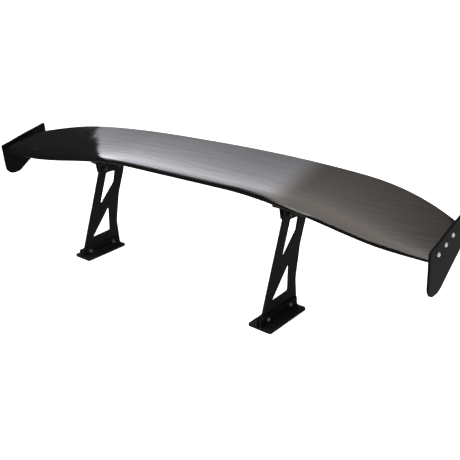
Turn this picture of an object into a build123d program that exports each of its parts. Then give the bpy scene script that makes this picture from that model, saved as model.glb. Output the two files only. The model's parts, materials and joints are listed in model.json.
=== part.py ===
from build123d import *
import os
from math import atan2, cos, degrees, hypot, pi, sin, sqrt

# Adjustable rear wing for a race car: a hollow aerofoil with two end plates, held by
# angle brackets on two leaning stands. X runs across the car with 0 at mid span, Y runs
# rearwards from the front edge of the feet, and Z runs up from the surface under them.

# ---- aerofoil -------------------------------------------------------------------------
TIP_X = 781.0              # half span of the aerofoil
NOSE_Y, NOSE_Z = 87.0, 312.6        # nose at mid span
TAIL_Y, TAIL_Z = 241.0, 378.2       # trailing edge at mid span
NOSE_SWEEP = (56.6, 450.0, 1.5)     # forward: how far at the tip, where it starts, power
NOSE_DROP, NOSE_DROP_SPAN = 37.6, (200.0, 640.0)
NOSE_LIFT = (12.3, 640.0, 1.5)      # back up again towards the tip
TAIL_SWEEP = (86.0, 512.0, 2.0)     # forward
TAIL_DROP = (53.0, 0.0, 2.5)
THICKNESS = 0.125          # largest thickness over chord
CAMBER = 0.012             # depth of the downward camber over chord
TRAILING_EDGE = 3.0        # thickness of the blunt trailing edge
WALL = 2.0                 # skin thickness at the deepest place
BOND_START = 0.92          # chord fraction where the skins meet at the rear
CORE_GAP = 0.5             # glue gap between the skins and what they hold
SECTIONS = 25              # sections along the span
SECTION_POINTS = 12        # points along each surface of a section

# ---- inside the aerofoil --------------------------------------------------------------
SPAR_AT = 0.26             # chord fraction of the spar's middle
SPAR_T = 6.0
RIB_T = 6.0
INNER_RIB_X = 190.0
OUTER_RIB_X = 575.0
TIP_RIB_W = 23.0
TIP_RIB_CHORD = (0.09, 0.84)
RIB_END = 0.84             # chord fraction where the ribs stop
BLOCK_W = 62.0             # mount block, across the car
BLOCK_END = 112.0          # mount block's rear end along the chord

# ---- end plates -----------------------------------------------------------------------
END_PLATE_T = 5.0
TIP_SCREWS = (0.22, 0.47, 0.72)     # chord fractions at the tip
M4_R, M4_HOLE_R = 2.0, 2.2
TIP_INSERT_R = 2.5

# ---- stands ---------------------------------------------------------------------------
STAND_X = 365.0            # middle of each stand plate
PLATE_T = 6.0
PIVOT = (130.0, 268.0)     # hinge axis (Y, Z)
ADJUSTER = (184.0, 266.0)  # clamp bolt (Y, Z)
TILT_DOWN, TILT_UP = 4.0, 8.0       # travel of the wing either way, degrees
M8_R, M8_HOLE_R = 4.0, 4.05
SLOT_HALF = 4.35
RUN_GAP = 0.5              # between a stand plate and the bracket beside it
WASHER_GAP = 0.1           # between a bracket and the washer beside it

# ---- top brackets, in the chord frame of the stand station ------------------------------
SEAT_V = -20.5             # height of the flange's upper face off the chord line
BRACKET_T = 5.0
BRACKET_START, BRACKET_END = 15.0, 124.0     # along the chord
BRACKET_W = 31.0
PAD_START, PAD_END, PAD_GAP = 20.0, 120.0, 0.15
WING_SCREW_U = (56.0, 98.0)
WING_SCREW_X = 20.0        # off the stand's middle plane
INSERT_R, INSERT_LENGTH, INSERT_TOP_V = 5.0, 6.0, 0.0

# ---- feet -----------------------------------------------------------------------------
GASKET_T = 2.0
FOOT_LENGTH = 150.0
FOOT_HALF_W = 36.5
FOOT_T = 5.0
FOOT_UPSTAND = 28.0
FOOT_HOLE_X, FOOT_HOLE_Y = 22.0, (20.0, 130.0)
FOOT_BOLTS = ((30.0, 18.0), (122.0, 18.0))
M6_R, M6_HOLE_R = 3.0, 3.3

Y_MID = 120.8              # middle of the whole object, front to rear


# ---- aerofoil sections ----------------------------------------------------------------
def ease(x, start, end):
    """Smooth step from 0 at start to 1 at end."""
    t = min(max((x - start) / (end - start), 0), 1)
    return t * t * (3 - 2 * t)


def growth(x, size, start, power):
    """Grows from 0 at start to its full size at the tip."""
    return size * max(0, (abs(x) - start) / (TIP_X - start)) ** power


def station(x):
    """Nose and trailing edge of the section at x: the tips droop and sweep."""
    drop = NOSE_DROP * ease(abs(x), *NOSE_DROP_SPAN)
    return (x, NOSE_Y - growth(x, *NOSE_SWEEP), NOSE_Z - drop + growth(x, *NOSE_LIFT),
            TAIL_Y - growth(x, *TAIL_SWEEP), TAIL_Z - growth(x, *TAIL_DROP))


def chord_of(place):
    return hypot(place[3] - place[1], place[4] - place[2])


def chord_point(place, u, v):
    """Point u along the chord from the nose and v above it, in mm."""
    x, nose_y, nose_z, tail_y, tail_z = place
    a = atan2(tail_z - nose_z, tail_y - nose_y)
    return Vector(x, nose_y + u * cos(a) - v * sin(a), nose_z + u * sin(a) + v * cos(a))


def thickness_at(s):
    """Half thickness over chord of the bare section at chord fraction s."""
    poly = 0.2969 * sqrt(s) - 0.1260 * s - 0.3516 * s**2 + 0.2843 * s**3 - 0.1036 * s**4
    return 5 * THICKNESS * max(poly, 0)


def camber_at(s):
    return -4 * CAMBER * s * (1 - s)


def outer_half(c, s):
    """Half thickness of the outside, in mm, for chord c."""
    return thickness_at(s) * c + TRAILING_EDGE * s / 2


def inner_half(c, s):
    """Half height of the hollow between the skins."""
    t = min(max((s - WALL / c) / (BOND_START - WALL / c), 0), 1)
    deepest = THICKNESS * c / 2
    return thickness_at(t) * c * (deepest - WALL) / deepest


def pad_half(c, s):
    """Half thickness of the outside with the pad's bond line."""
    return outer_half(c, s) + PAD_GAP


def core_half(c, s):
    """Half height of what fills the hollow."""
    return inner_half(c, s) - CORE_GAP


def surface(place, side, half, start, end):
    """Spline along a surface: side is +1 above and -1 below the camber line."""
    c = chord_of(place)
    last = SECTION_POINTS - 1
    points = []
    for i in range(SECTION_POINTS):
        s = start + (end - start) * (1 - cos(pi * i / last)) / 2
        points.append(chord_point(place, s * c, camber_at(s) * c + side * half(c, s)))
    return Edge.make_spline(points, parameters=[i / last for i in range(SECTION_POINTS)])


def camber_point(place, s):
    c = chord_of(place)
    return chord_point(place, s * c, camber_at(s) * c)


def closed(*edges):
    """Wire through open edges, each joined to the next by a straight line."""
    links = [Edge.make_line(a @ 1, b @ 0) for a, b in zip(edges, edges[1:] + edges[:1])]
    return Wire([e for pair in zip(edges, links) for e in pair])


def skin_section(place, side):
    """Shell half: outside, blunt rear edge, bonded seam, inside and nose seam."""
    wall = WALL / chord_of(place)
    outer = surface(place, side, outer_half, 0, 1)
    seam = Edge.make_line(camber_point(place, 1), camber_point(place, BOND_START))
    inner = surface(place, side, inner_half, BOND_START, wall)
    return Wire([outer, Edge.make_line(outer @ 1, seam @ 0), seam, inner,
                 Edge.make_line(inner @ 1, outer @ 0)])


def core_section(place, start, end):
    """Slice of the filling between two chord fractions."""
    top = surface(place, 1, core_half, start, end)
    return closed(top, surface(place, -1, core_half, end, start))


def spar_section(place):
    c = chord_of(place)
    half_t = SPAR_T / 2 / c
    corners = []
    for s, side in ((-1, -1), (1, -1), (1, 1), (-1, 1)):
        s = SPAR_AT + s * half_t
        corners.append(chord_point(place, s * c, camber_at(s) * c + side * core_half(c, s)))
    return Wire.make_polygon(corners, close=True)


def span_loft(section, low, high, count, *details):
    """Solid through count evenly spaced sections from X low to X high."""
    xs = [low + (high - low) * i / (count - 1) for i in range(count)]
    return Solid.make_loft([section(station(x), *details) for x in xs])


MOUNT = station(STAND_X)
TIP = station(TIP_X)
TILT = degrees(atan2(MOUNT[4] - MOUNT[2], MOUNT[3] - MOUNT[1]))


def in_chord_frame(shape):
    """Lay a shape made with Y along the chord and Z off it onto the stand's chord."""
    return Pos(STAND_X, MOUNT[1], MOUNT[2]) * Rot(TILT, 0, 0) * shape


# ---- fasteners, along +Z with the head's seat at 0 ----------------------------------------
def button_screw(radius, length):
    head_r, head_h = 1.85 * radius, 1.1 * radius
    head = Cylinder(head_r, head_h, align=(Align.CENTER, Align.CENTER, Align.MIN))
    head = fillet(head.edges().sort_by(Axis.Z)[-1], 0.75 * head_h)
    shank = Cylinder(radius, length, align=(Align.CENTER, Align.CENTER, Align.MAX))
    shank = chamfer(shank.edges().sort_by(Axis.Z)[0], 0.2 * radius)
    socket = Pos(0, 0, 0.4 * head_h) * extrude(RegularPolygon(0.75 * radius, 6), amount=head_h)
    return head + shank - socket


def washer(bore, radius, thickness):
    return extrude(Circle(radius) - Circle(bore), amount=thickness)


def lock_nut(radius):
    """Hexagon nut with the round collar that grips the thread."""
    body = extrude(RegularPolygon(1.62 * radius, 6, major_radius=False), amount=1.5 * radius)
    collar = Pos(0, 0, 1.5 * radius) * extrude(Circle(1.35 * radius), amount=0.5 * radius)
    return body + collar - extrude(Circle(radius), amount=2 * radius)


def insert(radius, bore, length):
    ring = extrude(Circle(radius) - Circle(bore), amount=length)
    return chamfer(ring.edges().sort_by(Axis.Z)[-2:], 0.2)


def along_x(shape, x, place, outward=True):
    """Turn a fastener so that its head looks away from the car's middle, or towards it."""
    return Pos(x, *place) * Rot(0, 90 if outward else -90, 0) * shape


def cross_hole(radius, place):
    return Pos(STAND_X, *place) * Rot(0, 90, 0) * Cylinder(radius, 200)


# ---- the hollow wing --------------------------------------------------------------------
def plate_shape(points, radii, x, thickness):
    """Flat plate in the Y-Z plane with rounded corners, from x towards +X."""
    face = make_face(FilletPolyline(*points, radius=radii, close=True))
    return Pos(x, 0, 0) * extrude(Plane.YZ * face, amount=thickness)


def break_edges(plate, size):
    """Chamfer every edge around both flat faces of a plate that lies in the Y-Z plane."""
    rims = plate.edges().filter_by(lambda e: abs((e @ 0).X - (e @ 0.5).X) < 0.01)
    return chamfer(rims, size)


def chord_drill(radius, low, high):
    """Four drills through the bracket pattern, between two heights off the chord."""
    height = high - low
    drill = Cylinder(radius, height, align=(Align.CENTER, Align.CENTER, Align.MIN))
    return [in_chord_frame(Pos(x, u, low) * drill)
            for x in (-WING_SCREW_X, WING_SCREW_X) for u in WING_SCREW_U]


def tip_places():
    """Y and Z of the end plate's screws, on the tip section's camber line."""
    places = [camber_point(TIP, s) for s in TIP_SCREWS]
    return [(p.Y, p.Z) for p in places]


def behind_spar(x):
    """Chord fraction of the glue line at the spar's rear face."""
    return SPAR_AT + (SPAR_T / 2 + CORE_GAP) / chord_of(station(x))


def rib(x):
    return span_loft(core_section, x - RIB_T / 2, x + RIB_T / 2, 2, behind_spar(x), RIB_END)


def make_skins():
    save("upper_skin", span_loft(skin_section, -TIP_X, TIP_X, SECTIONS, 1))
    lower = Part() + span_loft(skin_section, -TIP_X, TIP_X, SECTIONS, -1)
    holes = chord_drill(M6_HOLE_R, SEAT_V, INSERT_TOP_V)
    lower -= holes + [mirror(h, about=Plane.YZ) for h in holes]
    save("lower_skin", lower)


def make_frame():
    spar_x = TIP_X - TIP_RIB_W - 2 * CORE_GAP
    save("main_spar", span_loft(spar_section, -spar_x, spar_x, SECTIONS))
    save("centre_rib", rib(0))
    save_pair("inner_rib", rib(INNER_RIB_X))
    save_pair("outer_rib", rib(OUTER_RIB_X))

    low, high = STAND_X - BLOCK_W / 2, STAND_X + BLOCK_W / 2
    block = Part() + span_loft(core_section, low, high, 3, behind_spar(low), BLOCK_END / chord_of(MOUNT))
    save_pair("mount_block", block - chord_drill(INSERT_R, SEAT_V, INSERT_TOP_V))
    inserts = [in_chord_frame(Pos(x, u, INSERT_TOP_V - INSERT_LENGTH)
                              * insert(INSERT_R, M6_R, INSERT_LENGTH))
               for x in (-WING_SCREW_X, WING_SCREW_X) for u in WING_SCREW_U]
    save_pair("mount_inserts", inserts)

    rib_end = TIP_X - CORE_GAP
    tip_rib = Part() + span_loft(core_section, rib_end - TIP_RIB_W, rib_end, 2, *TIP_RIB_CHORD)
    insert_x = rib_end - INSERT_LENGTH
    for place in tip_places():
        tip_rib -= along_x(extrude(Circle(TIP_INSERT_R), amount=20), insert_x - 8, place)
    save_pair("tip_rib", tip_rib)
    save_pair("tip_inserts", [along_x(insert(TIP_INSERT_R, M4_R, INSERT_LENGTH), insert_x, p)
                              for p in tip_places()])


def make_end_plates():
    points = [(23, 311), (23, 206), (72, 206), (203, 291), (203, 354), (115, 334), (62, 320)]
    plate = plate_shape(points, [6, 28, 40, 8, 5, 80, 60], TIP_X, END_PLATE_T)
    face = TIP_X + END_PLATE_T
    washer_t = 1.0
    screws, washers = [], []
    for place in tip_places():
        plate -= along_x(extrude(Circle(M4_HOLE_R), amount=40), TIP_X - 20, place)
        washers.append(along_x(washer(M4_HOLE_R, 5.0, washer_t), face, place))
        screws.append(along_x(button_screw(M4_R, 12), face + washer_t, place))
    save_pair("end_plate", break_edges(plate, 0.8))
    save_pair("end_plate_washers", washers)
    save_pair("end_plate_screws", screws)


# ---- brackets between wing and stands ---------------------------------------------------
def adjuster_slot():
    """Arc slot about the pivot, as long as the tilt needs."""
    dy, dz = ADJUSTER[0] - PIVOT[0], ADJUSTER[1] - PIVOT[1]
    middle = degrees(atan2(dz, dy))
    arc = CenterArc(PIVOT, hypot(dy, dz), middle - TILT_UP, TILT_UP + TILT_DOWN)
    return Pos(STAND_X - 50, 0, 0) * extrude(Plane.YZ * SlotArc(arc, 2 * SLOT_HALF), amount=100)


def top_bracket():
    """Outer bracket of the right stand: a cheek beside the plate and a flange below the wing."""
    inner = PLATE_T / 2 + RUN_GAP
    front = chord_point(MOUNT, BRACKET_START, SEAT_V)
    rear = chord_point(MOUNT, BRACKET_END, SEAT_V)
    points = [(front.Y, front.Z), (112, 255), (204, 246), (rear.Y, rear.Z)]
    cheek = plate_shape(points, [0, 6, 6, 0], STAND_X + inner, BRACKET_T)
    length = BRACKET_END - BRACKET_START
    flange = Box(BRACKET_W, length, BRACKET_T, align=(Align.MIN, Align.MIN, Align.MAX))
    flange = fillet(flange.edges().filter_by(Axis.Z).sort_by(Axis.X)[-2:], 7)
    flange = in_chord_frame(Pos(inner, BRACKET_START, SEAT_V) * flange)
    cheek = break_edges(cheek - adjuster_slot() - cross_hole(M8_HOLE_R, PIVOT), 0.5)
    bracket = cheek + flange
    return bracket - chord_drill(M6_HOLE_R, SEAT_V - 20, SEAT_V + 5)


def pad_section(place):
    """Flat on the bracket's flange and curved to the wing's underside."""
    c = chord_of(MOUNT)
    top = surface(place, -1, pad_half, PAD_START / c, PAD_END / c)
    seat = [chord_point(MOUNT, u, SEAT_V) for u in (PAD_END, PAD_START)]
    return closed(top, Edge.make_line(*[Vector(place[0], p.Y, p.Z) for p in seat]))


def make_brackets():
    outer = top_bracket()
    across = Plane.YZ.offset(STAND_X)
    save_pair("outer_top_bracket", outer)
    save_pair("inner_top_bracket", mirror(outer, about=across))

    half_w = PLATE_T / 2 + RUN_GAP + BRACKET_W
    pad = Part() + span_loft(pad_section, STAND_X - half_w, STAND_X + half_w, 5)
    save_pair("saddle_pad", pad - chord_drill(M6_HOLE_R, SEAT_V - 5, 0))

    washer_t = 1.2
    seat = SEAT_V - BRACKET_T - washer_t
    places = [(x, u) for x in (-WING_SCREW_X, WING_SCREW_X) for u in WING_SCREW_U]
    screw = button_screw(M6_R, INSERT_TOP_V - seat - 0.5)
    save_pair("wing_screws", [in_chord_frame(Pos(*p, seat) * Rot(180, 0, 0) * screw)
                              for p in places])
    ring = washer(M6_HOLE_R, 6.5, washer_t)
    save_pair("wing_screw_washers", [in_chord_frame(Pos(*p, seat) * ring) for p in places])


# ---- stands -----------------------------------------------------------------------------
def pedestal_plate():
    outline = [(6, GASKET_T), (10, 22), (121, 281), (204, 285), (213, 262), (210, 243),
               (178, 172), (154, 82), (154, GASKET_T)]
    plate = plate_shape(outline, [2, 40, 12, 9, 20, 60, 120, 60, 2],
                        STAND_X - PLATE_T / 2, PLATE_T)
    upper = [(139.5, 249), (175, 249), (163.5, 212.5), (96, 149)]
    lower = [(130, 138.5), (121.5, 58.5), (51.5, 56.5)]
    for points, radii in ((upper, [4, 4, 12, 3]), (lower, [3, 5, 3])):
        plate -= plate_shape(points, radii, STAND_X - PLATE_T, 2 * PLATE_T)
    for place in (PIVOT, ADJUSTER):
        plate -= cross_hole(M8_HOLE_R, place)
    for place in FOOT_BOLTS:
        plate -= cross_hole(M6_HOLE_R, place)
    return break_edges(plate, 0.6)


def foot_angle():
    """Outer angle of the right stand: a flange to bolt down and an upstand beside the plate."""
    x0, z0 = PLATE_T / 2, GASKET_T
    profile = [(x0, z0), (FOOT_HALF_W, z0), (FOOT_HALF_W, z0 + FOOT_T), (x0 + FOOT_T, z0 + FOOT_T),
               (x0 + FOOT_T, z0 + FOOT_UPSTAND), (x0, z0 + FOOT_UPSTAND)]
    face = make_face(FilletPolyline(*profile, radius=[0, 0, 0, 4, 1.5, 0], close=True))
    angle = Pos(STAND_X, 0, 0) * extrude(Plane.XZ * face, amount=-FOOT_LENGTH)
    corners = angle.edges().filter_by(Axis.Z).sort_by(Axis.X)[-2:]
    angle = fillet(corners, 6)
    angle = chamfer(angle.faces().sort_by(Axis.X)[-1].edges(), 0.5)
    for y in FOOT_HOLE_Y:
        angle -= Pos(STAND_X + FOOT_HOLE_X, y, 0) * Cylinder(M6_HOLE_R, 40)
    for place in FOOT_BOLTS:
        angle -= cross_hole(M6_HOLE_R, place)
    return angle


def foot_gasket():
    sheet = Box(2 * FOOT_HALF_W, FOOT_LENGTH, GASKET_T, align=(Align.CENTER, Align.MIN, Align.MIN))
    sheet = Pos(STAND_X, 0, 0) * fillet(sheet.edges().filter_by(Axis.Z), 6)
    for y in FOOT_HOLE_Y:
        for x in (-FOOT_HOLE_X, FOOT_HOLE_X):
            sheet -= Pos(STAND_X + x, y, 0) * Cylinder(M6_HOLE_R, 40)
    return sheet


def cross_bolts(prefix, radius, places, grip, washer_r, washer_t):
    """Bolts across the stand, each with two washers and a lock nut on the inner side."""
    seat = grip + washer_t
    bolts, nuts, washers = [], [], []
    length = 2 * seat + 2.3 * radius
    for place in places:
        bolts.append(along_x(button_screw(radius, length), STAND_X + seat, place))
        nuts.append(along_x(lock_nut(radius), STAND_X - seat, place, outward=False))
        ring = washer(radius, washer_r, washer_t)
        washers.append(along_x(ring, STAND_X + grip, place))
        washers.append(along_x(ring, STAND_X - grip, place, outward=False))
    ending = "s" if len(places) > 1 else ""
    save_pair(prefix + "_bolt" + ending, bolts)
    save_pair(prefix + "_nut" + ending, nuts)
    save_pair(prefix + "_washers", washers)


def make_stands():
    save_pair("pedestal_plate", pedestal_plate())
    outer = foot_angle()
    save_pair("outer_foot_angle", outer)
    save_pair("inner_foot_angle", mirror(outer, about=Plane.YZ.offset(STAND_X)))
    save_pair("foot_gasket", foot_gasket())
    cross_bolts("foot", M6_R, FOOT_BOLTS, PLATE_T / 2 + FOOT_T, 6.5, 1.2)
    clamp = PLATE_T / 2 + RUN_GAP + BRACKET_T + WASHER_GAP
    cross_bolts("pivot", M8_R, [PIVOT], clamp, 8.0, 1.6)
    cross_bolts("adjuster", M8_R, [ADJUSTER], clamp, 9.0, 1.6)


# ---- writing the pieces -----------------------------------------------------------------
def save(name, shape):
    pieces = shape if isinstance(shape, list) else [shape]
    solids = [s for p in pieces for s in (Pos(0, -Y_MID, 0) * p).solids()]
    whole = solids[0] if len(solids) == 1 else Compound(solids)
    export_step(whole, f"parts/{name}.step")


def save_pair(name, shape):
    """Write the right-hand piece and its mirror image on the left."""
    pieces = shape if isinstance(shape, list) else [shape]
    save("right_" + name, pieces)
    save("left_" + name, [mirror(p, about=Plane.YZ) for p in pieces])


os.makedirs("parts", exist_ok=True)
make_skins()
make_frame()
make_end_plates()
make_brackets()
make_stands()
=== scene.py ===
import json
from math import atan2, cos, e, hypot, pi, radians, sin, sqrt

import bmesh
import bpy
from mathutils import Matrix, Vector


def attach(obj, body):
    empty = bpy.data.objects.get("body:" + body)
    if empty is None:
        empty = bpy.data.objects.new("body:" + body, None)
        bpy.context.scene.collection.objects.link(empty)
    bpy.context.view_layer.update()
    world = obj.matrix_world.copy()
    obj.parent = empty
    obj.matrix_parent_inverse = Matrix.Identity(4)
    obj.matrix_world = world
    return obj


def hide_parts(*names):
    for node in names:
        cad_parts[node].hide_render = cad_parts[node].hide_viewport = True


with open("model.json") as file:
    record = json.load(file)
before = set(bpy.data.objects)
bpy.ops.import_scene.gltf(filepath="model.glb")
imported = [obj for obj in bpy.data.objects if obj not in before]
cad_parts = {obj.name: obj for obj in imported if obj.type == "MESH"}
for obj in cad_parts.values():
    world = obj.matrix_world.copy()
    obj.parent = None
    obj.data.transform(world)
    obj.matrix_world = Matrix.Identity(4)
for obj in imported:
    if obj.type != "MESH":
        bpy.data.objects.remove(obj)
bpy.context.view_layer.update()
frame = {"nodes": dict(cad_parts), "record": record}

# Racing rear wing: carbon aerofoil between two end plates, on two leaning black stands.
# Metres, X across the car, Y rearwards, Z up from the surface under the feet.

scene = bpy.context.scene
MM = 0.001
NOISE_ROUGHNESS = 0.55


# ---- node helpers -----------------------------------------------------------------------
class Nodes:
    """Short calls to add nodes to the tree of a material, a light or the world."""

    def __init__(self, tree):
        self.tree = tree

    def add(self, kind, **settings):
        node = self.tree.nodes.new(kind)
        for key, value in settings.items():
            setattr(node, key, value)
        return node

    def link(self, source, target):
        self.tree.links.new(source, target)

    def feed(self, socket, value):
        if hasattr(value, "links"):
            self.link(value, socket)
        else:
            socket.default_value = value

    def math(self, operation, a, b=0.0):
        node = self.add("ShaderNodeMath", operation=operation)
        self.feed(node.inputs[0], a)
        self.feed(node.inputs[1], b)
        return node.outputs[0]

    def spread(self, value, low, high, new_low, new_high):
        node = self.add("ShaderNodeMapRange")
        self.feed(node.inputs["Value"], value)
        for key, number in (("From Min", low), ("From Max", high),
                            ("To Min", new_low), ("To Max", new_high)):
            node.inputs[key].default_value = number
        return node.outputs["Result"]

    def mix(self, factor, a, b):
        node = self.add("ShaderNodeMix", data_type="RGBA")
        self.feed(node.inputs[0], factor)
        self.feed(node.inputs[6], a)
        self.feed(node.inputs[7], b)
        return node.outputs[2]


class Shader(Nodes):
    """A new material with one Principled surface."""

    def __init__(self, name):
        self.material = bpy.data.materials.new(name)
        self.material.use_nodes = True
        super().__init__(self.material.node_tree)
        self.tree.nodes.clear()
        self.out = self.add("ShaderNodeOutputMaterial")
        self.bsdf = self.add("ShaderNodeBsdfPrincipled")
        self.link(self.bsdf.outputs["BSDF"], self.out.inputs["Surface"])
        self.place = self.add("ShaderNodeTexCoord").outputs["Object"]

    def scaled(self, factors, source=None):
        node = self.add("ShaderNodeVectorMath", operation="MULTIPLY")
        self.feed(node.inputs[0], source or self.place)
        node.inputs[1].default_value = factors
        return node.outputs[0]

    def noise(self, scale, detail=4.0, vector=None):
        node = self.add("ShaderNodeTexNoise")
        self.feed(node.inputs["Vector"], vector or self.place)
        node.inputs["Scale"].default_value = scale
        node.inputs["Detail"].default_value = detail
        node.inputs["Roughness"].default_value = NOISE_ROUGHNESS
        return node.outputs["Fac"]

    def bump(self, height, distance, strength, normal=None):
        node = self.add("ShaderNodeBump")
        self.feed(node.inputs["Height"], height)
        node.inputs["Distance"].default_value = distance
        node.inputs["Strength"].default_value = strength
        if normal is not None:
            self.link(normal, node.inputs["Normal"])
        return node.outputs["Normal"]

    def set(self, **values):
        """Principled sockets, with spaces written as underscores."""
        for key, value in values.items():
            self.feed(self.bsdf.inputs[key.replace("_", " ")], value)


def grey(value):
    return (value, value, value, 1.0)


# ---- materials --------------------------------------------------------------------------
TOW = 3.2 * MM                          # width of one tow of the cloth
TWILL_REPEAT, TWILL_OVER = 4.0, 1.5     # tows in a repeat; columns 0 and 1 of it lie on top
FIBRE_PITCH, FIBRE_RUN = 2600, 90       # noise cells per metre across and along the fibres
# the two tow colours are one cloth painted darker and lighter: a painted sheen for the different
# shine of warp and weft
TOWS_PAINTED_SHADED = ((0.0004, 0.0004, 0.0004, 1), (0.0009, 0.0008, 0.0007, 1))
TOWS_PAINTED_SHEEN = ((0.0040, 0.0035, 0.0032, 1), (0.0075, 0.0066, 0.0060, 1))
BETWEEN_FIBRES = (0.001, 0.001, 0.001, 1)
WEAVE_HEIGHT, PRINT_HEIGHT = 0.10 * MM, 0.004 * MM      # under and on top of the clear coat
LAY_UP_PITCH, LAY_UP_HEIGHT = 90.0, 0.7 * MM            # long low lines along the span
RIPPLE_PITCH, RIPPLE_HEIGHT = 14.0, 0.25 * MM           # slow waves of the coat


def carbon():
    """Two-by-two twill under a thick clear coat, with the tows of one direction painted lighter
    than the others as a painted sheen.
    """
    m = Shader("carbon_twill_clear_coat")
    cloth = m.add("ShaderNodeAttribute", attribute_name="cloth").outputs["Vector"]
    split = m.add("ShaderNodeSeparateXYZ")
    m.link(m.scaled((1 / TOW, 1 / TOW, 1), cloth), split.inputs[0])
    across, along = split.outputs[0], split.outputs[1]
    # which tow is on top: two over, two under, one step over on each row
    row = m.math("FLOOR", along)
    column = m.math("FLOOR", across)
    phase = m.math("FLOORED_MODULO", m.math("SUBTRACT", column, row), TWILL_REPEAT)
    warp_on_top = m.math("LESS_THAN", phase, TWILL_OVER)
    # rounded crowns of the tows, a half sine over each tow's width
    u = m.math("SINE", m.math("MULTIPLY", m.math("FRACT", across), pi))
    v = m.math("SINE", m.math("MULTIPLY", m.math("FRACT", along), pi))
    crown = m.math("ADD", m.math("MULTIPLY", warp_on_top, u),
                   m.math("MULTIPLY", m.math("SUBTRACT", 1.0, warp_on_top), v))
    fibres_warp = m.noise(1.0, 2.0, vector=m.scaled((FIBRE_PITCH, FIBRE_RUN, 1), cloth))
    fibres_weft = m.noise(1.0, 2.0, vector=m.scaled((FIBRE_RUN, FIBRE_PITCH, 1), cloth))
    fibres = m.mix(warp_on_top, fibres_weft, fibres_warp)
    patches = m.noise(9.0, 3.0)
    # tows on top get the lighter colour: painted sheen, with random patches within each
    tow_tone_with_painted_sheen = m.mix(warp_on_top, m.mix(patches, *TOWS_PAINTED_SHADED), m.mix(patches, *TOWS_PAINTED_SHEEN))
    cloth_colour_with_painted_sheen = m.mix(m.math("MULTIPLY", fibres, 0.5), tow_tone_with_painted_sheen, BETWEEN_FIBRES)
    weave = m.bump(m.math("ADD", crown, m.math("MULTIPLY", fibres, 0.3)), WEAVE_HEIGHT, 0.5)
    print_through = m.bump(crown, PRINT_HEIGHT, 0.4)
    lay_up = m.bump(m.noise(LAY_UP_PITCH, 3.0, vector=m.scaled((0.06, 1, 1))),
                    LAY_UP_HEIGHT, 0.8, normal=print_through)
    ripple = m.bump(m.noise(RIPPLE_PITCH, 2.0, vector=m.scaled((0.35, 1, 1))),
                    RIPPLE_HEIGHT, 0.35, normal=lay_up)
    m.set(Base_Color=cloth_colour_with_painted_sheen, Specular_IOR_Level=0.0,
          Roughness=m.spread(crown, 0, 1, 0.46, 0.30), Normal=weave,
          Coat_Weight=1.0, Coat_Roughness=0.045, Coat_IOR=1.5, Coat_Normal=ripple)
    return m.material


def coated(name, value, roughness, specular, grain_height=0.03):
    """Black powder coat or anodising: fine grain, faint clouding and duller patches."""
    m = Shader(name)
    grain = m.noise(900.0, 3.0)
    cloud = m.noise(18.0, 3.0)
    handled = m.math("ADD", m.math("MULTIPLY", grain, 0.3), m.math("MULTIPLY", cloud, 0.7))
    m.set(Base_Color=m.mix(cloud, grey(value * 0.9), grey(value * 1.12)),
          Specular_IOR_Level=specular,
          Roughness=m.spread(handled, 0.3, 0.7, roughness - 0.04, roughness + 0.04),
          Normal=m.bump(grain, grain_height * MM, 0.25))
    return m.material


def metal(name, colour, roughness, metallic=1.0):
    """Metal with fine drawn marks along Y and slight clouding."""
    m = Shader(name)
    marks = m.noise(1.0, 3.0, vector=m.scaled((1400, 120, 1400)))
    cloud = m.noise(60.0, 3.0)
    dark = tuple(c * 0.78 for c in colour) + (1,)
    m.set(Base_Color=m.mix(cloud, dark, colour + (1,)), Metallic=metallic,
          Roughness=m.spread(marks, 0.25, 0.75, roughness - 0.08, roughness + 0.08),
          Normal=m.bump(marks, 0.01 * MM, 0.3))
    return m.material


def rubber():
    m = Shader("black_rubber")
    grain = m.noise(1600.0, 3.0)
    m.set(Base_Color=m.mix(m.noise(40.0), grey(0.010), grey(0.022)), Specular_IOR_Level=0.3,
          Roughness=m.spread(grain, 0.2, 0.8, 0.6, 0.85), Normal=m.bump(grain, 0.05 * MM, 0.5))
    return m.material


def plywood():
    m = Shader("birch_plywood")
    grain = m.noise(1.0, 4.0, vector=m.scaled((700, 30, 700)))
    colour = m.mix(grain, (0.42, 0.27, 0.14, 1), (0.62, 0.45, 0.27, 1))
    m.set(Base_Color=colour, Roughness=m.spread(grain, 0.2, 0.8, 0.55, 0.75),
          Normal=m.bump(grain, 0.1 * MM, 0.3))
    return m.material


def laminate():
    m = Shader("spar_laminate")
    strands = m.noise(1.0, 3.0, vector=m.scaled((25, 1800, 1800)))
    m.set(Base_Color=m.mix(strands, grey(0.012), grey(0.035)), Roughness=0.45,
          Normal=m.bump(strands, 0.05 * MM, 0.3))
    return m.material


carbon_cloth = carbon()
stand_black = coated("stand_satin_black", 0.004, 0.42, 0.18)
foot_black = coated("foot_satin_black", 0.003, 0.50, 0.18)
plate_black = coated("end_plate_gloss_black", 0.002, 0.24, 0.12, grain_height=0.006)
# bright steel with metallic kept low, so its pale colour shows diffuse white: a painted glint on
# the screw heads
bright_steel = metal("bright_steel", (0.86, 0.85, 0.83), 0.30, metallic=0.3)
# steel of the foot bolts, nuts and washers, its colour darkened as painted shade
steel_darkened_as_painted_shade = metal("steel_darkened_as_painted_shade", (0.16, 0.16, 0.16), 0.34, metallic=0.7)
dark_steel = metal("dark_steel", (0.12, 0.12, 0.125), 0.38)
brass = metal("brass", (0.72, 0.52, 0.22), 0.30)
rubber_black = rubber()
birch = plywood()
spar_cloth = laminate()

SLOT_MATERIALS = {
    "carbon_skin": carbon_cloth, "spar_laminate": spar_cloth, "plywood": birch,
    "brass": brass, "end_plate_black": plate_black, "stand_black": stand_black,
    "black_rubber": rubber_black, "bright_steel": bright_steel, "dark_steel": dark_steel,
}


def wear(obj, material):
    obj.data.materials.clear()
    obj.data.materials.append(material)


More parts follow.
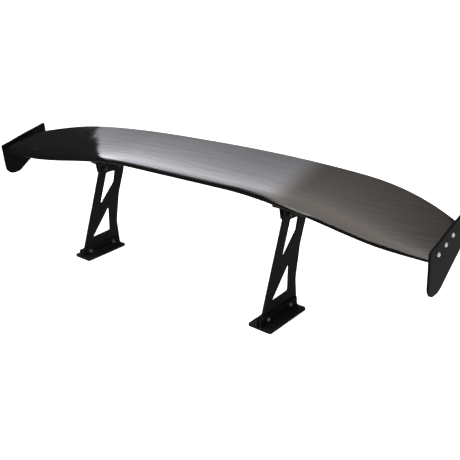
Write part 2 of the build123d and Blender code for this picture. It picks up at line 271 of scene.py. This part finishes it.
for part in frame["record"]["subparts"]:
    wear(frame["nodes"][part["node"]], SLOT_MATERIALS[part["material_slot"]])
for side in ("left", "right"):
    for piece in ("inner_foot_angle", "outer_foot_angle"):
        wear(frame["nodes"][f"{side}_{piece}"], foot_black)
    for piece in ("foot_bolts", "foot_nuts", "foot_washers"):
        wear(frame["nodes"][f"{side}_{piece}"], steel_darkened_as_painted_shade)


# ---- the aerofoil's form in millimetres, the same as the CAD -----------------------------
TIP_X = 781.0
NOSE_Y, NOSE_Z = 87.0, 312.6            # at mid span, as are the next two
TAIL_Y, TAIL_Z = 241.0, 378.2
NOSE_SWEEP = (56.6, 450.0, 1.5)         # forward: how far at the tip, where it starts, power
NOSE_DROP, NOSE_DROP_SPAN = 37.6, (200.0, 640.0)
NOSE_LIFT = (12.3, 640.0, 1.5)          # back up again towards the tip
TAIL_SWEEP = (86.0, 512.0, 2.0)         # forward
TAIL_DROP = (53.0, 0.0, 2.5)
THICKNESS, CAMBER = 0.125, 0.012
TRAILING_EDGE = 3.0
WALL = 2.0
BOND_START = 0.92                       # share of the chord where the skins meet at the rear
Y_MID = 120.8                           # middle of the whole object, front to rear
NOSE_GROOVE, SEAM_DEPTH, EDGE_GAP = 0.35, 0.35, 0.25    # the seam between the two skins
STATIONS = 281                          # sections across the span
OUTSIDE_POINTS, INSIDE_POINTS = 72, 40
SHARP = radians(35)                     # edges with a larger angle stay sharp


def ease(x, start, end):
    t = min(max((x - start) / (end - start), 0), 1)
    return t * t * (3 - 2 * t)


def growth(x, size, start, power):
    return size * max(0, (abs(x) - start) / (TIP_X - start)) ** power


def station(x):
    drop = NOSE_DROP * ease(abs(x), *NOSE_DROP_SPAN)
    return (x, NOSE_Y - growth(x, *NOSE_SWEEP), NOSE_Z - drop + growth(x, *NOSE_LIFT),
            TAIL_Y - growth(x, *TAIL_SWEEP), TAIL_Z - growth(x, *TAIL_DROP))


def chord_of(place):
    return hypot(place[3] - place[1], place[4] - place[2])


def chord_point(place, u, v):
    x, nose_y, nose_z, tail_y, tail_z = place
    a = atan2(tail_z - nose_z, tail_y - nose_y)
    y = nose_y + u * cos(a) - v * sin(a) - Y_MID
    z = nose_z + u * sin(a) + v * cos(a)
    return Vector((x, y, z)) * MM


def thickness_at(s):
    poly = 0.2969 * sqrt(s) - 0.1260 * s - 0.3516 * s**2 + 0.2843 * s**3 - 0.1036 * s**4
    return 5 * THICKNESS * max(poly, 0)


def camber_at(s):
    return -4 * CAMBER * s * (1 - s)


def outer_half(c, s):
    return thickness_at(s) * c + TRAILING_EDGE * s / 2


def inner_half(c, s):
    t = min(max((s - WALL / c) / (BOND_START - WALL / c), 0), 1)
    deepest = THICKNESS * c / 2
    return thickness_at(t) * c * (deepest - WALL) / deepest


def spaced(start, end, count):
    """Positions that crowd together at both ends."""
    return [start + (end - start) * (1 - cos(pi * i / (count - 1))) / 2 for i in range(count)]


def skin_loop(place, side):
    """One section of a skin as a closed loop, and how many of its points are outside."""
    c = chord_of(place)

    def point(s, half):
        return chord_point(place, s * c, camber_at(s) * c + side * half(c, s))

    outside = [point(s, outer_half) for s in spaced(0.00002, 1, OUTSIDE_POINTS)]
    edge = [chord_point(place, c, side * EDGE_GAP)]
    seam = [chord_point(place, c - SEAM_DEPTH, 0),
            chord_point(place, BOND_START * c, camber_at(BOND_START) * c)]
    inside = [point(s, inner_half) for s in spaced(BOND_START, WALL / c, INSIDE_POINTS)[1:]]
    nose = [chord_point(place, NOSE_GROOVE, 0)]
    return outside + edge + seam + inside + nose, len(outside)


def skin(name, side, node):
    """Shell of one skin, with the cloth's own coordinates: across the span and along the run."""
    verts, cloth = [], []
    for k in range(STATIONS):
        x = TIP_X * (2 * k / (STATIONS - 1) - 1)
        loop, outside = skin_loop(station(x), side)
        run = 0.0
        for i, p in enumerate(loop):
            if 0 < i < outside:
                run += (p - loop[i - 1]).length
            verts.append(p)
            cloth.append((p.x, run, 0.0))
    n = len(loop)
    faces = []
    for i in range(STATIONS - 1):
        for j in range(n):
            k = (j + 1) % n
            quad = (i * n + j, i * n + k, (i + 1) * n + k, (i + 1) * n + j)
            faces.append(quad if side < 0 else quad[::-1])
    mesh = bpy.data.meshes.new(name)
    mesh.from_pydata(verts, [], faces)
    layer = mesh.attributes.new("cloth", "FLOAT_VECTOR", "POINT")
    for i, value in enumerate(cloth):
        layer.data[i].vector = value
    mesh.update()
    obj = bpy.data.objects.new(name, mesh)
    scene.collection.objects.link(obj)
    bm = bmesh.new()
    bm.from_mesh(mesh)
    bmesh.ops.holes_fill(bm, edges=[edge for edge in bm.edges if edge.is_boundary], sides=0)
    bmesh.ops.recalc_face_normals(bm, faces=bm.faces)
    for face in bm.faces:
        face.smooth = True
    for edge in bm.edges:
        if len(edge.link_faces) == 2 and edge.calc_face_angle(0) > SHARP:
            edge.smooth = False
    bm.to_mesh(mesh)
    bm.free()
    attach(obj, "wing")
    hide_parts(node)
    wear(obj, carbon_cloth)


skin("wing_upper_skin", 1, "upper_skin")
skin("wing_lower_skin", -1, "lower_skin")


# ---- floor, light and camera, in metres ---------------------------------------------------
FLOOR_HALF = 60.0
FLOOR_GLOW = 0.50           # makes the floor as white as the backdrop
REFLECTED_FLOOR = 0.22      # grey that the floor has in reflections
REFLECTED_WORLD = 0.06


def studio_world():
    """Pale backdrop, dim in reflections so that black parts stay black."""
    world = bpy.data.worlds.new("studio")
    scene.world = world
    world.use_nodes = True
    m = Nodes(world.node_tree)
    seen = m.add("ShaderNodeLightPath").outputs["Is Camera Ray"]
    background = m.tree.nodes["Background"]
    m.link(m.mix(seen, (0.9, 0.95, 1.0, 1), (1, 1, 1, 1)), background.inputs["Color"])
    m.link(m.spread(seen, 0, 1, REFLECTED_WORLD, 1.0), background.inputs["Strength"])


def floor():
    """Pale floor that is dim in reflections and open when seen from underneath."""
    mesh = bpy.data.meshes.new("studio_floor")
    h = FLOOR_HALF
    mesh.from_pydata([(-h, -h, 0), (h, -h, 0), (h, h, 0), (-h, h, 0)], [], [(0, 1, 2, 3)])
    obj = bpy.data.objects.new("studio_floor", mesh)
    scene.collection.objects.link(obj)
    m = Shader("studio_floor")
    mirrored = m.add("ShaderNodeLightPath").outputs["Is Glossy Ray"]
    paint = m.mix(m.noise(2.0), (0.88, 0.88, 0.88, 1), (0.90, 0.90, 0.90, 1))
    m.set(Base_Color=m.mix(mirrored, paint, grey(REFLECTED_FLOOR)), Roughness=0.9,
          Specular_IOR_Level=0.1, Emission_Color=(1, 1, 1, 1),
          Emission_Strength=m.spread(mirrored, 0, 1, FLOOR_GLOW, 0.0))
    blend = m.add("ShaderNodeMixShader")
    m.link(m.add("ShaderNodeNewGeometry").outputs["Backfacing"], blend.inputs[0])
    m.link(m.bsdf.outputs[0], blend.inputs[1])
    m.link(m.add("ShaderNodeBsdfTransparent").outputs[0], blend.inputs[2])
    m.link(blend.outputs[0], m.out.inputs["Surface"])
    wear(obj, m.material)


def add_light(name, kind, location, rotation, glossy=True):
    light = bpy.data.lights.new(name, kind)
    obj = bpy.data.objects.new(name, light)
    obj.location = location
    obj.rotation_euler = rotation
    obj.visible_camera = False
    obj.visible_glossy = glossy
    scene.collection.objects.link(obj)
    return light


def sun(name, strength, elevation, azimuth, spread):
    """Wide light from a direction in degrees, left out of reflections."""
    elevation, azimuth = radians(elevation), radians(azimuth)
    back = Vector((cos(azimuth) * cos(elevation), sin(azimuth) * cos(elevation), sin(elevation)))
    turn = back.to_track_quat("Z", "Y").to_euler()
    light = add_light(name, "SUN", (0, 0, 3), turn, glossy=False)
    light.energy = strength
    light.angle = radians(spread)


def area_light(name, place, rotation, wide, deep, radiance):
    light = add_light(name, "AREA", place, rotation)
    light.shape = "RECTANGLE"
    light.size, light.size_y = wide, deep
    light.energy = radiance * pi * wide * deep
    return light


def front_light(name, place, target, wide, deep, radiance):
    """Evenly lit box that faces a target."""
    place = Vector(place)
    turn = (Vector(target) - place).to_track_quat("-Z", "Y").to_euler()
    area_light(name, place, turn, wide, deep, radiance)


SOFT_BOX_Z = 0.9
SOFT_BOX_X, SOFT_BOX_Y = (-1.95, 0.50), (-0.60, 0.85)
BOX_PEAK, BOX_PEAK_Y, BOX_FADE = 8.4, 0.08, 0.24      # radiance, where it is, fade length
BOX_FRONT = (-0.20, 0.10)                             # soft front edge
BOX_WARM_FRONT = (-0.55, -0.35)                       # further forward at the warm end
BOX_END = (0.848, 0.530, -1.075, 0.02)                # slanted left end: normal, offset, softness
BOX_WARM = (-0.03, 0.13)                              # where the warm, dimmer end starts
WARM_SHARE = 0.36
COOL, WARM = (0.95, 0.935, 1.0, 1), (1.0, 0.90, 0.82, 1)


def soft_box():
    """Long soft box over the wing, brightest towards the front, that faces down."""
    wide, deep = SOFT_BOX_X[1] - SOFT_BOX_X[0], SOFT_BOX_Y[1] - SOFT_BOX_Y[0]
    middle = (sum(SOFT_BOX_X) / 2, sum(SOFT_BOX_Y) / 2, SOFT_BOX_Z)
    light = area_light("soft_box", middle, (0, 0, 0), wide, deep, radiance=1.0)
    light.use_nodes = True
    m = Nodes(light.node_tree)
    lamp = m.tree.nodes["Emission"]
    split = m.add("ShaderNodeSeparateXYZ")
    m.link(m.add("ShaderNodeNewGeometry").outputs["Position"], split.inputs[0])
    x, y = split.outputs[0], split.outputs[1]

    def soft_step(value, low, high):
        result = m.spread(value, low, high, 0.0, 1.0)
        result.node.interpolation_type = "SMOOTHSTEP"
        return result

    past_peak = m.math("MAXIMUM", m.math("SUBTRACT", y, BOX_PEAK_Y), 0.0)
    fade = m.math("POWER", e, m.math("MULTIPLY", past_peak, -1 / BOX_FADE))
    nx, ny, offset, soft = BOX_END
    inside = m.math("ADD", m.math("MULTIPLY", x, nx), m.math("MULTIPLY", y, ny))
    end = soft_step(inside, offset - soft, offset + soft)
    warm = soft_step(x, *BOX_WARM)
    cool_front, warm_front = soft_step(y, *BOX_FRONT), soft_step(y, *BOX_WARM_FRONT)
    further = m.math("SUBTRACT", warm_front, cool_front)
    front = m.math("ADD", cool_front, m.math("MULTIPLY", warm, further))
    share = m.math("ADD", 1.0, m.math("MULTIPLY", warm, WARM_SHARE - 1))
    level = m.math("MULTIPLY", m.math("MULTIPLY", fade, front), m.math("MULTIPLY", end, share))
    m.link(m.math("MULTIPLY", level, BOX_PEAK), lamp.inputs["Strength"])
    m.link(m.mix(warm, COOL, WARM), lamp.inputs["Color"])


studio_world()
floor()
sun("fill", strength=2.7, elevation=70, azimuth=200, spread=60)
soft_box()
# for the glints on the rounded screw heads
front_light("front_card", place=(2.4, -1.6, 1.3), target=(0.79, -0.05, 0.28),
            wide=0.8, deep=0.8, radiance=4.0)
# for the upper skin in views from above
front_light("front_box", place=(0.4, -1.5, 2.1), target=(0.2, 0, 0.3),
            wide=2.4, deep=1.3, radiance=3.0)


CAMERA_AT = (1.2518, -1.1421, 0.8421)
CAMERA_YAW, CAMERA_DOWN, CAMERA_ROLL = radians(43.240), radians(22.807), radians(-4.018)
LENS, SENSOR = 49.69, 36.0              # millimetres


def camera():
    data = bpy.data.cameras.new("camera")
    data.lens = LENS
    data.sensor_width = SENSOR
    data.clip_start, data.clip_end = 0.01, 300.0
    obj = bpy.data.objects.new("camera", data)
    obj.matrix_world = (Matrix.Translation(CAMERA_AT) @ Matrix.Rotation(CAMERA_YAW, 4, "Z")
                        @ Matrix.Rotation(pi / 2 - CAMERA_DOWN, 4, "X")
                        @ Matrix.Rotation(CAMERA_ROLL, 4, "Z"))
    scene.collection.objects.link(obj)
    scene.camera = obj


camera()
scene.view_settings.view_transform = "Standard"
scene.view_settings.look = "None"
